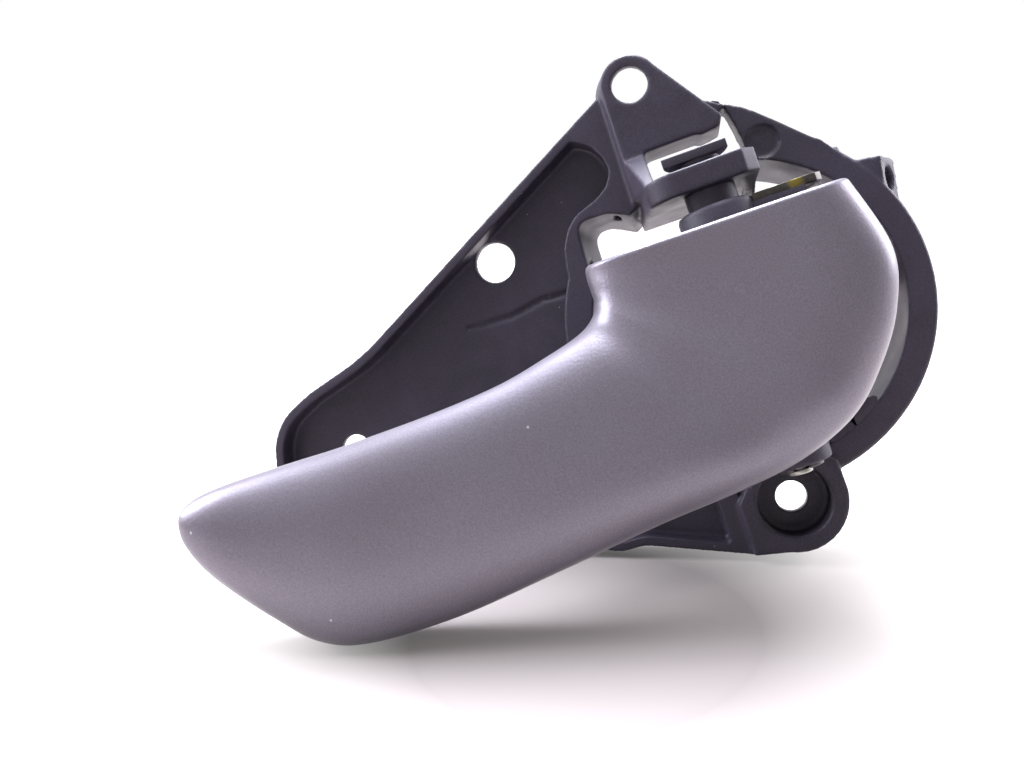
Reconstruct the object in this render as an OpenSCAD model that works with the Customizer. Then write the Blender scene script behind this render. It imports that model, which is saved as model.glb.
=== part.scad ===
// Car interior door handle: a moulded base frame with a sprung pull lever on an upright pin.
// The origin is the centre of the wing's fixing hole on the door side of the frame.
// X runs along the lever, -Y points into the cabin, Z is up along the hinge pin.

/* [Frame moulding] */
// Thickness of the wing's floor
floor_t = 2.5; // [2:0.1:3.5]
// Height of the rim and strap above the door side
rim_h = 8; // [6.5:0.1:8.2]
// Width of the raised rim
rim_w = 2.2; // [2:0.1:2.4]
// Outer radius of the round strap
strap_r = 39.7; // [39:0.1:41]
// Width of the strap's front face
strap_w = 6; // [5:0.1:6.4]
// How far the well's wall narrows towards the door
well_draft = 1.6; // [0.5:0.1:2]
// How far the well reaches behind the door side
well_depth = 10; // [9:0.1:14]
// Thickness of the moulded walls
wall_t = 2.4; // [2:0.1:3]

/* [Fixing holes] */
// Diameter of the wing's fixing hole
wing_hole_d = 9.5; // [8:0.1:10]
// Diameter of the hole near the wing's end
end_hole_d = 7.5; // [6:0.1:9]
// Diameter of the hole in the upper ear
ear_hole_d = 8; // [6:0.1:9]
// Diameter of the screw hole in the lower ear
low_hole_d = 7; // [5:0.1:8]
// Diameter of the dished recess round the lower screw hole
low_recess_d = 16; // [13:0.1:17]
// Diameter of the hole in the side tab
tab_hole_d = 5.2; // [4:0.1:6]
// Height of the upper ear above the door side
ear_h = 12; // [10:0.1:13]
// Height of the lower ear above the door side
low_ear_h = 10; // [9:0.1:12]

/* [Hinge] */
// Place of the hinge pin along the lever
hinge_x = 50.5; // [50:0.1:51]
// Distance of the hinge pin in front of the door side
hinge_out = 22; // [21.5:0.1:22.3]
// Diameter of the hinge pin
pin_d = 5; // [4:0.1:5.5]
// Radial clearance of the pin in its bores
pin_fit = 0.05; // [0.03:0.01:0.08]
// Thickness of the upper hinge lug
lug_t = 5; // [4:0.1:6]
// Thickness of the lower hinge lug
low_lug_t = 3.5; // [3:0.1:5]
// How far the lever opens, in degrees
open_angle = 40; // [25:1:42]
// Width of the flat front of the cap on the pin
cap_w = 13.4; // [12:0.1:14]
// Thickness of the cap's disc
cap_t = 1.9; // [1.6:0.1:2.4]

/* [Lever] */
// Wall thickness of the painted lever shell
shell_t = 2.5; // [2:0.1:2.8]
// Diameter of the hinge tube inside the lever
tube_d = 16; // [14:0.1:16.2]
// Thickness of the steel release arm
arm_t = 1.6; // [1.2:0.1:1.8]
// Wire diameter of the return spring
wire_d = 1.6; // [1.2:0.1:1.8]
// Number of turns in the return spring
spring_turns = 6; // [4:1:6]

/* [Stops] */
// Thickness of the rubber stop pads
pad_t = 2.4; // [1.8:0.1:3]
// Height and width of a stop pad
pad_h = 8; // [6:0.1:9]
// Gap between a pad and the lever at the end of its travel
stop_gap = 0.3; // [0.2:0.05:0.5]

/* [Hidden] */
BLACK = [0.15, 0.13, 0.16];
SILVER = [0.47, 0.45, 0.50];
STEEL = [0.70, 0.70, 0.68];
RUBBER = [0.10, 0.10, 0.10];
eps = 0.01;

// Frame, seen from the cabin as (x, z)
well = [51, -30];
well_in_r = strap_r - strap_w;
wing = [[36, 27.3], [-37.4, -11.8], [-53.8, -16.2], [-61.5, -20], [-65.2, -25],
        [-67, -32], [-62, -45.5], [9, -73.4], [14, -73.2], [37.5, -82]];
wing_soft = [0.5, 6, 4, 3, 2.5, 3, 6, 2, 2, 0.5];
end_hole = [-47.6, -32.4];
ear_hole = [42.2, 25.7];
ear_r = 6.4;
ear_slope = 34;
ear_corner = [58.8, 12.4];
low_hole = [48.4, -72.3];
low_ear_r = 11.4;
lobe = [[25, 40], [25, 19.6], [27.2, 18.8], [29.9, 16.9], [31.8, 13.3], [32.1, 9.8], [30.5, 7.1],
        [27.8, 5.2], [22.1, 3.2], [19.4, 0.9], [17.2, -3.1], [16.3, -7.5], [15.8, -14], [30, -20],
        [60, -20], [60, 40]];
groove = [[-10.8, -12.9], [0, -13.5], [8, -12.1], [15.2, -12.6]];
groove_w = 1.6;
groove_t = 0.7;
cut_front = [[20.9, -16], [35, -16], [35, -1.9], [31.6, 0.1], [28.9, 1.2], [21.3, 1.5]];
cut_rear = [[24, -16], [35, -16], [35, -3.6], [30.6, -1.1], [28, 0.1], [24, 0.1]];
cut_soft = [0.5, 0.5, 0.5, 1, 1, 3];
pocket = [65.5, 4.7];
pocket_d = 7.4;
pocket_t = 0.8;
slot_left = 40.4;
slot_top = 10.3;
gap_right = 61.6;
tray_right_r = strap_r + 0.6;
tab_at = [87.4, -6.6];
tab_l = 13.2;
tab_run = 4.4;
tab_step = 0.3;
tab_lean = 8.5;

// Hinge heights, from the upper lug down to the lower one
lug_under = -4;
core_top = -7.7;
core_foot = -58.3;
washer_t = 1;
low_lug_top = core_foot - washer_t;
low_lug_under = low_lug_top - low_lug_t;
lug_top = lug_under + lug_t;
clip_t = 0.8;
clip_gap = 0.1;
pin_foot = low_lug_under - 2;
collar_h = 1.5;
collar_d = 8;
cap_low = lug_top + collar_h;
cap_l = 10.2;
cap_front = 4.3;
cap_shift = 0.9;
cap_roof = 0.9;
bush_d = 10.6;
low_lug_d = pin_d + 9;

// Lever sections from the tip to the open neck.
// Each has its inner end, its outer end, its depth in y and its half thickness.
SECTIONS = [
    [-66.2, -35.6, -66.3, -38.2, -52.0, 1.8],
    [-65.2, -33.6, -65.9, -41.6, -51.8, 4.0],
    [-61.8, -32.2, -63.6, -46.8, -51.5, 5.6],
    [-56.2, -31.6, -59.7, -52.3, -51.0, 6.8],
    [-48.4, -31.4, -53.4, -59.8, -50.0, 7.6],
    [-39.5, -31.4, -46.6, -66.4, -49.0, 8.2],
    [-31.3, -31.4, -37.4, -69.3, -48.0, 8.6],
    [-13.9, -30.7, -20.0, -69.4, -45.0, 9.0],
    [0.4, -29.3, 0.7, -66.8, -42.0, 9.6],
    [10.4, -26.9, 21.5, -63.9, -38.0, 11.5],
    [17.3, -24.7, 37.8, -62.3, -34.0, 13.8],
    [20.6, -22.3, 50.7, -60.1, -30.0, 16.0],
    [21.9, -19.6, 61.9, -55.1, -28.0, 17.0],
    [21.9, -17.0, 69.4, -47.4, -27.3, 16.8],
    [21.8, -14.6, 75.2, -37.8, -27.1, 16.6],
    [22.0, -12.6, 77.8, -26.6, -27.0, 16.5],
    [22.3, -11.3, 74.0, -11.4, -27.0, 16.5]];
last = len(SECTIONS) - 1;
hollow_from = 3;
ring_steps = 3;
ring_sides = 36;
round_tip = 2.4;
round_neck = 4.4;
rim_tilt = 0.1;
rim_from = 12;
hub_back = -10.5;

// Core and arm inside the lever
neck_d = 11;
neck_gap = 0.3;
spring_bore_gap = 0.5;
coil_d = bush_d - 0.2 + 2 * (spring_bore_gap + wire_d);
spring_top = -44.6;
spring_pitch = wire_d + 0.1;
seat_d = bush_d - 0.2;
arm_top = core_top - 0.3;
arm_low = arm_top - arm_t;
ledge_t = 3;
flange = [[38, -38], [64, -15]];
flange_y = [-17.4, -15.4];
screws = [[40, -21], [57, -35.5]];
screw_d = 3;
screw_head_d = 5.6;
screw_head_t = 1.8;
screw_boss_d = 7.2;
boss_end = -13.6;
rivets = [[62.6, -20.6], [67, -20]];
rivet_d = 3;
arm_end = [well[0] + strap_r - 24.2, -2];
arm_end_r = 4;
clip_pin_d = 3;
hole_fit = 0.1;
clip_h = 2.8;
arm_tail_w = 8;
arm_left = hinge_x + 7;
arm_right = 71.6;
arm_front = -25.6;
arm_waist = -16;
screw_grip = 6;

// Cross bar and stops
bar_z = [-34, -34 + pad_h];
bar_t = 4;
closed_x = 39;
open_reach = 15;
anchor_at = [6.2, -8.8];
anchor_x = well[0] + strap_r - 11.7;
anchor_t = 2.4;
anchor_d = 6;
anchor_flange = 8;
cable_d = 2.6;

// A unit vector along v
function unit(v) = v / norm(v);
// The side to the left of the line from a to b
function left_of(a, b) = let (e = unit(b - a)) [-e[1], e[0]];
// The outline p moved inwards by d, for corners that run anticlockwise
function inset(p, d) = let (n = len(p)) [for (i = [0:n - 1])
    let (u = left_of(p[(i + n - 1) % n], p[i]), v = left_of(p[i], p[(i + 1) % n]))
    p[i] + (u + v) * d / (1 + u * v)];
// The outline p with each corner i rounded over the length r[i]
function soften(p, r, steps = 5) = let (n = len(p)) [for (i = [0:n - 1])
    let (a = p[i] + unit(p[(i + n - 1) % n] - p[i]) * r[i], c = p[i] + unit(p[(i + 1) % n] - p[i]) * r[i])
    for (k = [0:steps]) let (t = k / steps) a * (1 - t) * (1 - t) + p[i] * 2 * t * (1 - t) + c * t * t];
// Points on a circle from angle a to angle b
function arc(c, r, a, b, steps = 12) = [for (k = [0:steps])
    let (t = a + (b - a) * k / steps) c + r * [cos(t), sin(t)]];
// A smooth curve through four rows, at t between the second and the third
function blend_rows(a, b, c, d, t) = 0.5 * (2 * b + (c - a) * t + (2 * a - 5 * b + 4 * c - d) * t * t
    + (3 * b - a - 3 * c + d) * t * t * t);
// The lever's section at the place s along it
function section(s) = let (i = min(floor(s), last - 1), n = SECTIONS)
    blend_rows(n[max(i - 1, 0)], n[i], n[i + 1], n[min(i + 2, last)], s - i);
// A value with its sign kept, raised to a power
function bulge(v, p) = sign(v) * pow(abs(v), p);
// How round the section is at s: small near the tip, fuller at the neck
function fullness(s) = round_tip + (round_neck - round_tip) * min(1, max(0, (s - 6) / 6));
// One ring of the shell at s, pulled in by the wall w
function ring(s, w) = let (q = section(s), e = unit([q[2] - q[0], q[3] - q[1]]),
    half = norm([q[2] - q[0], q[3] - q[1]]) / 2 - w, mid = [q[0] + q[2], q[1] + q[3]] / 2,
    p = 2 / fullness(s), tilt = rim_tilt * max(0, (s - rim_from) / (last - rim_from)))
    [for (k = [0:ring_sides - 1]) let (t = 360 * k / ring_sides, along = half * bulge(cos(t), p),
        y = q[4] + (q[5] - w) * bulge(sin(t), p))
        [mid[0] + e[0] * along, y, mid[1] + e[1] * along + tilt * (y - q[4])]];

// A flat shape seen from the cabin, raised from y = rear to y = front
module raised(rear, front) {
    translate([0, rear, 0]) rotate([90, 0, 0]) linear_extrude(rear - front) children();
}
// A round bar along the view from the cabin
module peg(at, d, rear, front, front_d = 0) {
    translate([at[0], rear, at[1]]) rotate([90, 0, 0])
        cylinder(h = rear - front, d1 = d, d2 = front_d > 0 ? front_d : d, $fn = 64);
}
// A round bar along the hinge
module post(at, d, low, high, sides = 64) {
    translate([at[0], at[1], low]) cylinder(h = high - low, d = d, $fn = sides);
}
module on_hinge(d, low, high, sides = 64) post([hinge_x, -hinge_out], d, low, high, sides);
// Turns its children with the lever about the hinge pin
module turned(angle) {
    translate([hinge_x, -hinge_out, 0]) rotate([0, 0, angle]) translate([-hinge_x, hinge_out, 0]) children();
}

// Wing: a tapered tray with a raised rim
module wing_tray() {
    inner = inset(wing, rim_w);
    difference() {
        raised(0, -rim_h) polygon(soften(wing, wing_soft));
        raised(-floor_t, -rim_h - 1) difference() {
            polygon(soften(inner, wing_soft * 0.8));
            translate(well) circle(r = tray_right_r, $fn = 96);
            polygon(soften(lobe, [for (p = lobe) 1]));
            translate([low_hole[0] - low_ear_r - wall_t - 2, -90]) square([20, 30]);
        }
        for (k = [0:len(groove) - 2])
            raised(-floor_t + groove_t, -floor_t - 1) hull() {
                translate(groove[k]) circle(d = groove_w, $fn = 16);
                translate(groove[k + 1]) circle(d = groove_w, $fn = 16);
            }
    }
}

// Strap and well: a round channel whose inner wall narrows towards the door
module well_ring() {
    translate([well[0], 0, well[1]]) rotate([90, 0, 0]) rotate_extrude($fn = 128) polygon([
        [well_in_r, rim_h], [strap_r - 0.6, rim_h], [strap_r, rim_h - 0.6], [strap_r, 0],
        [strap_r - wall_t, 0], [strap_r - wall_t, rim_h - wall_t],
        [well_in_r + wall_t, rim_h - wall_t], [well_in_r - well_draft + wall_t, -well_depth],
        [well_in_r - well_draft, -well_depth]]);
}

// Upper ear, standing proud, with a sloping left wall
module upper_ear() {
    raised(0, -ear_h) polygon(concat(
        arc(ear_hole, ear_r, 180, ear_slope),
        [ear_corner, ear_corner - [1.1, 2.1], [53.2, 9.7], [53.2, 1], [ear_hole[0] - ear_r, 1]]));
    peg(ear_hole, 2 * ear_r + 4, -floor_t, -ear_h, 2 * ear_r);
    translate([0, 0, 1]) linear_extrude(ear_hole[1] - 1) polygon([
        [ear_hole[0] - ear_r, -ear_h], [ear_hole[0], -ear_h], [ear_hole[0], 0], [ear_hole[0] - ear_r - 2, 0]]);
}

// Hollow behind the ear's front wall, open at the top so that light passes through the hole
module ear_hollow() {
    low = slot_top + wall_t;
    top = ear_hole[1] + ear_r + 4;
    r = ear_r - wall_t / 2;
    raised(1, -ear_h + wall_t) polygon([
        [ear_hole[0] - r, low], [53, low], ear_corner + [-wall_t - 1, 1.2], [52, 20.5], [52, top],
        [ear_hole[0] - r, top]]);
}

// Arm from the ear down to the strap
module upper_arm() {
    raised(0, -rim_h) polygon([[56.7, 17.5], [59.6, 15.7], [62.8, 13.9], [64.3, 12.9], [69.6, 8],
        [74.9, 2.6], [77.2, 0.6], [80.2, -3.6], [71, -7], [62, 1], [gap_right, 6.9], [60.2, 15]]);
    raised(0, -rim_h) polygon([[50, 21], [57.2, 17.3], [60.2, 15], [55, 12], [47, 14]]);
}

// Side tab, a step below the strap, whose sloping face holds a hole
module side_tab() {
    translate([tab_at[0], 0, tab_at[1]]) rotate([0, tab_lean, 0]) difference() {
        translate([0, 0, -tab_l]) linear_extrude(tab_l) polygon([
            [-8, tab_step - rim_h], [0, tab_step - rim_h], [tab_run, 0], [-8, 0]]);
        translate([tab_run / 2, (tab_step - rim_h) / 2, -4.6])
            rotate([0, 90, -atan2(tab_run, rim_h - tab_step)])
            cylinder(h = 30, d = tab_hole_d, center = true, $fn = 48);
    }
}

// Lower ear with its dished screw hole
module lower_ear() {
    raised(0, -low_ear_h) polygon(concat(
        arc(low_hole, low_ear_r, -112, 8),
        [[59.6, -66], [52, -62], [40, -66], [36.6, -70], [36.6, -81.6]]));
}

// Upper hinge lug: a shelf that is also the roof of the well
module upper_lug() {
    nose = -hinge_out - bush_d / 2 - 1.5;
    translate([0, 0, lug_under]) linear_extrude(lug_t) polygon(concat(
        [[61, 4], [35.4, 4], [37.2, -14]],
        arc([hinge_x - 6, nose + 6.5], 6.5, 190, 270, 8),
        [[hinge_x + 7.6, nose], [hinge_x + 10.5, nose + 3.2], [61, -16]]));
    translate([58, 0, 0]) rotate([90, 0, 90]) linear_extrude(wall_t) polygon([
        [nose + 5, lug_under + eps], [-7, lug_under + eps], [-7, core_top + 0.8]]);
    intersection() {
        translate([30, 0, 0]) rotate([90, 0, 90]) linear_extrude(slot_left - 30) polygon([
            [0.4 - ear_h, slot_top], [0.4 - ear_h, lug_top - eps], [-ear_h - 12, lug_top - eps],
            [-ear_h, slot_top - 0.4]]);
        linear_extrude(slot_top + 1) polygon([[36.1, -ear_h + 1], [36.1, -ear_h], [38, -22], [38.4, -25],
            [42, -25], [42, -ear_h + 1]]);
    }
}

// Wall behind the rounded cut-out, on the outside of the well
module cut_out_wall() {
    difference() {
        raised(well_depth, -1) polygon(soften([[18.6, -15], [36, -15], [36, 3.8], [18.6, 3.8]],
            [0.5, 0.5, 0.5, 5]));
        peg(well, 2 * (well_in_r + 0.2), well_depth + 1, -2);
    }
}

// Lower hinge lug
module lower_lug() {
    translate([0, 0, low_lug_under]) linear_extrude(low_lug_t) {
        translate([hinge_x, -hinge_out]) circle(d = low_lug_d, $fn = 64);
        translate([hinge_x - 6, -hinge_out]) square([12, hinge_out - 4]);
    }
    for (x = [-6, 6 - wall_t])
        translate([hinge_x + x, 0, 0]) rotate([90, 0, 90]) linear_extrude(wall_t) polygon([
            [-hinge_out + 6, low_lug_under + eps], [-rim_h + 1, low_lug_under + eps],
            [-rim_h + 1, low_lug_under - 3]]);
}

// Cross bar behind the lever, which carries both stops
module cross_bar() {
    reach = well_in_r - well_draft + 1;
    translate([well[0] - reach, well_depth - bar_t, bar_z[0]]) cube([2 * reach, bar_t, pad_h]);
    translate([closed_x - pad_h / 2, hub_back + stop_gap + pad_t, bar_z[0]])
        cube([pad_h, well_depth - hub_back - stop_gap - pad_t - 1, pad_h]);
    intersection() {
        turned(open_angle) translate([hinge_x + open_reach - pad_h / 2,
            hub_back + stop_gap + pad_t, bar_z[0]]) cube([pad_h, 14, pad_h]);
        translate([0, -30, bar_z[0]]) cube([100, 30 + well_depth, pad_h]);
    }
}

// Bracket for the end of the cable's sheath
module cable_bracket() {
    translate([anchor_x - anchor_t / 2, -rim_h + 1, -17]) cube([anchor_t, rim_h + well_depth, 15.4]);
}

// Rounded cut-out left of the hinge and the windows round the upper lug
module frame_openings() {
    hull() {
        raised(-rim_h - 1, -rim_h - 1 - eps) polygon(soften(cut_front, cut_soft));
        raised(well_depth + 1, well_depth + 1 - eps) polygon(soften(cut_rear, cut_soft));
    }
    raised(well_depth + 1, -ear_h - 1)
        polygon(soften([[slot_left, lug_top + 1], [gap_right, lug_top + 1], [gap_right, 6.9],
            [59.6, 14.2], [57.7, 10.3], [53.2, slot_top - 0.6], [52.4, slot_top], [slot_left, slot_top]],
            [0.5, 0.5, 0.5, 0.5, 0.5, 0.3, 0.3, 1.4]));
}

module base_frame() {
    color(BLACK) difference() {
        union() {
            difference() {
                union() {
                    wing_tray();
                    raised(0, -rim_h) polygon([[52, 2], [62, 2], [62, 8], [52, 8]]);
                    upper_arm();
                    upper_ear();
                    lower_ear();
                }
                peg(well, 2 * (strap_r - wall_t), 1, -rim_h + wall_t);
                peg(well, 2 * (well_in_r + 1), 1, -ear_h - 1);
            }
            difference() {
                well_ring();
                translate([73, -1, -14.6]) cube([20, well_depth + 2, 11.6]);
            }
            intersection() {
                upper_ear();
                peg(well, 2 * strap_r, 0, -ear_h);
            }
            intersection() {
                lower_ear();
                peg(well, 2 * strap_r, 0, -low_ear_h);
                raised(0, -low_ear_h) translate([30, -90]) square([32, 26.5]);
            }
            upper_lug();
            cut_out_wall();
            lower_lug();
            cross_bar();
            cable_bracket();
            side_tab();
        }
        frame_openings();
        ear_hollow();
        peg([0, 0], wing_hole_d, 1, -rim_h);
        peg(end_hole, end_hole_d, 1, -rim_h);
        peg(ear_hole, ear_hole_d, 1, -ear_h - 1);
        peg(low_hole, low_hole_d, 1, -low_ear_h);
        peg(low_hole, low_recess_d, -floor_t - 0.5, -low_ear_h - 1);
        peg(pocket, pocket_d, -rim_h + pocket_t, -rim_h - 1);
        on_hinge(pin_d + 2 * pin_fit, low_lug_under - 1, lug_top + 1);
        translate([anchor_x - 3, anchor_at[0], anchor_at[1]]) rotate([0, 90, 0])
            cylinder(h = 6, d = anchor_d + 2 * hole_fit, $fn = 64);
        translate([anchor_x - 3, anchor_at[0], anchor_at[1] - anchor_d / 2 - hole_fit])
            cube([6, well_depth, anchor_d + 2 * hole_fit]);
    }
}

module hinge_pin() {
    groove = pin_d - 1.2;
    color(STEEL) {
        on_hinge(pin_d, low_lug_under - clip_gap, cap_low + cap_t - cap_roof);
        on_hinge(groove, low_lug_under - clip_gap - clip_t - 0.1, low_lug_under - clip_gap);
        on_hinge(pin_d, pin_foot, low_lug_under - clip_gap - clip_t - 0.1);
    }
}

// Cap with a flat front and a round back, pushed on the pin
module pin_cap() {
    color(BLACK) difference() {
        union() {
            on_hinge(collar_d, lug_top, cap_low + eps);
            translate([hinge_x - cap_shift, -hinge_out - cap_front, cap_low]) linear_extrude(cap_t)
                polygon([for (a = [0:6:180]) [cap_w / 2 * cos(a), cap_l * sin(a)]]);
        }
        on_hinge(pin_d + 2 * pin_fit, lug_top - 1, cap_low + cap_t - cap_roof + pin_fit);
    }
}

module pin_clip() {
    top = low_lug_under - clip_gap;
    color(STEEL) difference() {
        on_hinge(pin_d + 5, top - clip_t, top);
        on_hinge(pin_d - 1.1, top - clip_t - 1, top + 1);
        translate([hinge_x - 1.6, -hinge_out - pin_d - 5, top - clip_t - 1]) cube([3.2, pin_d + 5, clip_t + 2]);
    }
}

module upper_bush() {
    color(BLACK) difference() {
        on_hinge(bush_d, core_top, lug_under);
        on_hinge(pin_d + 2 * pin_fit, core_top - 1, lug_under + 1);
    }
}

module thrust_washer() {
    color("ivory") difference() {
        on_hinge(neck_d, low_lug_top, core_foot);
        on_hinge(pin_d + 2 * pin_fit, low_lug_top - 1, core_foot + 1);
    }
}

module closed_stop_pad() {
    color(RUBBER) translate([closed_x - pad_h / 2 + 0.5, hub_back + stop_gap, bar_z[0] + 0.5])
        cube([pad_h - 1, pad_t, pad_h - 1]);
}

module open_stop_pad() {
    color(RUBBER) turned(open_angle) translate([hinge_x + open_reach - pad_h / 2 + 0.5,
        hub_back + stop_gap, bar_z[0] + 0.5]) cube([pad_h - 1, pad_t, pad_h - 1]);
}

// Sheath end held in the bracket's slot, between its two flanges
module cable_anchor() {
    half = anchor_t / 2 + hole_fit;
    color(BLACK) translate([anchor_x, anchor_at[0], anchor_at[1]]) rotate([0, 90, 0]) difference() {
        rotate_extrude($fn = 64) polygon([[0, -half - 1.6], [anchor_flange / 2, -half - 1.6],
            [anchor_flange / 2, -half], [anchor_d / 2, -half], [anchor_d / 2, half],
            [anchor_flange / 2, half], [anchor_flange / 2, half + 1.6], [3.4, half + 2.2],
            [3, half + 8], [0, half + 8]]);
        translate([0, 0, -10]) cylinder(h = 30, d = cable_d, $fn = 32);
    }
}

// Painted shell: a hollow grip that turns up into an open neck
module shell_body() {
    outer = [for (k = [0:last * ring_steps]) ring(k / ring_steps, 0)];
    inner = [for (k = [last * ring_steps:-1:hollow_from * ring_steps]) ring(k / ring_steps, shell_t)];
    rings = concat(outer, inner);
    n = ring_sides;
    points = [for (r = rings) each r];
    sides = [for (j = [0:len(rings) - 2]) for (k = [0:n - 1])
        let (a = j * n + k, b = j * n + (k + 1) % n) each [[a, a + n, b], [b, a + n, b + n]]];
    tip = [[for (k = [0:n - 1]) k], [for (k = [n - 1:-1:0]) (len(rings) - 1) * n + k]];
    polyhedron(points, concat(sides, tip), convexity = 6);
}

module lever_shell() {
    color(SILVER) difference() {
        shell_body();
        on_hinge(coil_d + 2 * neck_gap, -70, spring_top);
        translate([hinge_x - 7, -hinge_out, -70]) cube([20, hinge_out, 70 + core_foot + neck_gap]);
        translate([hinge_x - 9.5, -hinge_out + 1, -70]) cube([19, hinge_out, 70 + spring_top]);
        for (p = screws) peg(p, screw_d + 2 * hole_fit, 0, boss_end - 1);
    }
}

// Hinge carrier inside the shell: tube, ledge for the arm and screw flange
module lever_core() {
    color(BLACK) difference() {
        union() {
            translate([hinge_x, -hinge_out, 0]) rotate_extrude($fn = 96) polygon([
                [0, spring_top], [tube_d / 2, spring_top], [tube_d / 2, core_top - 1.2],
                [tube_d / 2 - 0.35, core_top - 0.35], [tube_d / 2 - 1.2, core_top], [0, core_top]]);
            on_hinge(seat_d, core_foot, spring_top + 1);
            on_hinge(neck_d, core_foot, core_foot + 3);
            translate([hinge_x, -hinge_out - 4, arm_low - ledge_t]) cube([17.5, 9, ledge_t]);
            translate([flange[0][0], flange_y[0], flange[0][1]])
                cube([flange[1][0] - flange[0][0], flange_y[1] - flange_y[0], flange[1][1] - flange[0][1]]);
            for (p = screws) peg(p, screw_boss_d, boss_end, boss_end - 10);
            translate([30, -hinge_out - 1.2, -38]) cube([14, wall_t, 22]);
            translate([hinge_x - 1.2, -36, -42]) cube([wall_t, 10, 28]);
        }
        on_hinge(pin_d + 2 * pin_fit, core_foot - 1, core_top + 1);
        for (p = rivets) post(p, rivet_d + 2 * pin_fit, arm_low - ledge_t - 1, arm_low + 1, 32);
        for (p = screws) peg(p, screw_d + 2 * pin_fit, 0, boss_end - screw_grip - 1);
    }
}

// Flat steel arm on the carrier, bent round behind the lever to pull the cable
module release_arm() {
    color(STEEL) translate([0, 0, arm_low]) linear_extrude(arm_t) difference() {
        union() {
            polygon([[arm_left, arm_front], [arm_right - 1.2, arm_front], [arm_right, arm_front + 1.2],
                [arm_right, arm_waist], [arm_left, arm_waist + 2]]);
            polygon([[arm_end[0] - arm_tail_w / 2, arm_end[1]], [arm_left, arm_waist],
                [arm_right, arm_waist - 1], [arm_end[0] + arm_tail_w / 2, arm_end[1]]]);
            translate(arm_end) circle(r = arm_end_r, $fn = 64);
        }
        translate([hinge_x, -hinge_out]) circle(d = tube_d + 2 * hole_fit, $fn = 96);
        for (p = rivets) translate(p) circle(d = rivet_d + 2 * pin_fit, $fn = 32);
        translate(arm_end) circle(d = clip_pin_d + 2 * pin_fit, $fn = 32);
    }
}

module arm_rivets() {
    color(STEEL) for (p = rivets) {
        post(p, rivet_d, arm_low - ledge_t - 0.6, arm_top + 0.5, 32);
        post(p, rivet_d + 1.6, arm_top, arm_top + 0.6, 32);
        post(p, rivet_d + 1.2, arm_low - ledge_t - 0.7, arm_low - ledge_t, 32);
    }
}

// Swivel that holds the cable's nipple on the arm's end
module cable_clip() {
    color(BLACK) difference() {
        union() {
            post(arm_end, 2 * arm_end_r - 0.4, arm_top, arm_top + clip_h);
            post(arm_end, clip_pin_d, arm_low - 0.5, arm_top + 0.5, 32);
            post(arm_end, clip_pin_d + 1.6, arm_low - 1.4, arm_low, 32);
        }
        translate([arm_end[0], arm_end[1] - 0.6, arm_top + 1]) cube([10, 1.2, clip_h]);
        post(arm_end, 3.2, arm_top + 1, arm_top + clip_h + 1, 32);
    }
}

module shell_screws() {
    color(STEEL) for (p = screws) {
        peg(p, screw_d, hub_back + 0.5, boss_end - screw_grip);
        difference() {
            peg(p, screw_head_d, hub_back + screw_head_t, hub_back);
            translate([p[0] - 0.4, hub_back + screw_head_t - 0.8, p[1] - 2]) cube([0.8, 2, 4]);
            translate([p[0] - 2, hub_back + screw_head_t - 0.8, p[1] - 0.4]) cube([4, 2, 0.8]);
        }
    }
}

// Torsion spring round the lower part of the hinge tube
module return_spring() {
    coil_r = seat_d / 2 + spring_bore_gap + wire_d / 2;
    steps = 20;
    sides = 8;
    total = spring_turns * steps;
    high = spring_top - wire_d / 2 - 0.2;
    route = concat([[-coil_r, 16, high - spring_turns * spring_pitch], [-coil_r, 8, high - spring_turns * spring_pitch]],
        [for (k = [total:-1:0]) let (a = 180 - 360 * k / steps + 360 * spring_turns)
            [coil_r * cos(a), coil_r * sin(a), high - spring_pitch * k / steps]],
        [[-coil_r - 0.3, -6, high], [-coil_r - 0.3, -10, high]]);
    points = [for (j = [0:len(route) - 1]) let (a = route[max(j - 1, 0)], c = route[min(j + 1, len(route) - 1)],
        f = unit(c - a), u = unit(cross(f, [0, 0, 1])), v = cross(u, f))
        for (k = [0:sides - 1]) let (t = 360 * k / sides)
            route[j] + (u * cos(t) + v * sin(t)) * wire_d / 2];
    faces = [for (j = [0:len(route) - 2]) for (k = [0:sides - 1])
        let (a = j * sides + k, b = j * sides + (k + 1) % sides)
        each [[a, b, a + sides], [b, b + sides, a + sides]]];
    ends = [[for (k = [sides - 1:-1:0]) k], [for (k = [0:sides - 1]) (len(route) - 1) * sides + k]];
    color(STEEL) translate([hinge_x, -hinge_out, 0]) polyhedron(points, concat(faces, ends), convexity = 10);
}

base_frame();
hinge_pin();
pin_cap();
pin_clip();
upper_bush();
thrust_washer();
closed_stop_pad();
open_stop_pad();
cable_anchor();
lever_shell();
lever_core();
release_arm();
arm_rivets();
cable_clip();
shell_screws();
return_spring();
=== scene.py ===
"""Car interior door handle: a painted pull lever on a black moulded frame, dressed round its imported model."""
import bpy
import bmesh
import math
import numpy as np
from bpy.props import FloatProperty, IntProperty, PointerProperty, StringProperty
from mathutils import Matrix, Vector


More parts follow.
